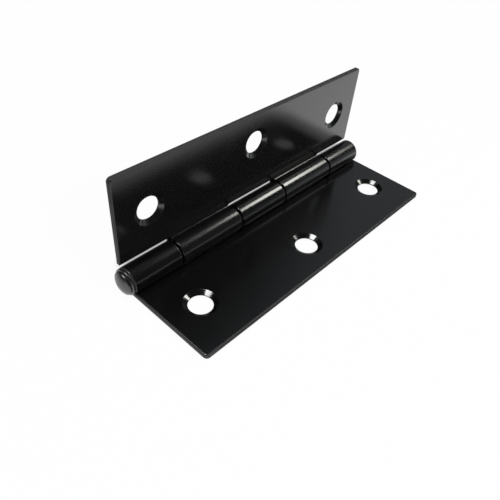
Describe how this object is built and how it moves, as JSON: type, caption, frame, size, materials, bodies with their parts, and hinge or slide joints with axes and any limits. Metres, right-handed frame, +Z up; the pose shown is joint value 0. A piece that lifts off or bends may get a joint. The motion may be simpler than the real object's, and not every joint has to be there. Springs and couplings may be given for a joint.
{
  "type": "loose pin butt hinge",
  "caption": "Black enamelled butt hinge of rolled sheet steel, with countersunk screw holes and a loose pin whose flanged, domed head draws it out to part the leaves.",
  "frame": {"origin": "back face of the leaf that lies flat, below the pin's axis at the middle of the hinge's length", "axes": "+X along the pin away from its head, +Y from the flat leaf's free edge towards the barrel, +Z up along the standing leaf"},
  "size_m": [0.0769, 0.026, 0.026],
  "materials": {
    "leaf_enamel": "glossy black enamel over sheet steel",
    "pin_enamel": "glossy black enamel over a steel pin"
  },
  "bodies": {
    "flat_leaf": {"three_knuckle_leaf": "leaf_enamel"},
    "standing_leaf": {"two_knuckle_leaf": "leaf_enamel"},
    "pin": {"loose_pin": "pin_enamel"}
  },
  "joints": [
    {"name": "leaf_swing", "type": "hinge", "parent": "flat_leaf", "child": "standing_leaf", "pos_m": [0, 0, 0.003], "axis": [-1, 0, 0], "range_deg": [-98, 165]},
    {"name": "pin_draw", "type": "slide", "parent": "flat_leaf", "child": "pin", "axis": [-1, 0, 0], "range_m": [0, 0.08]}
  ]
}
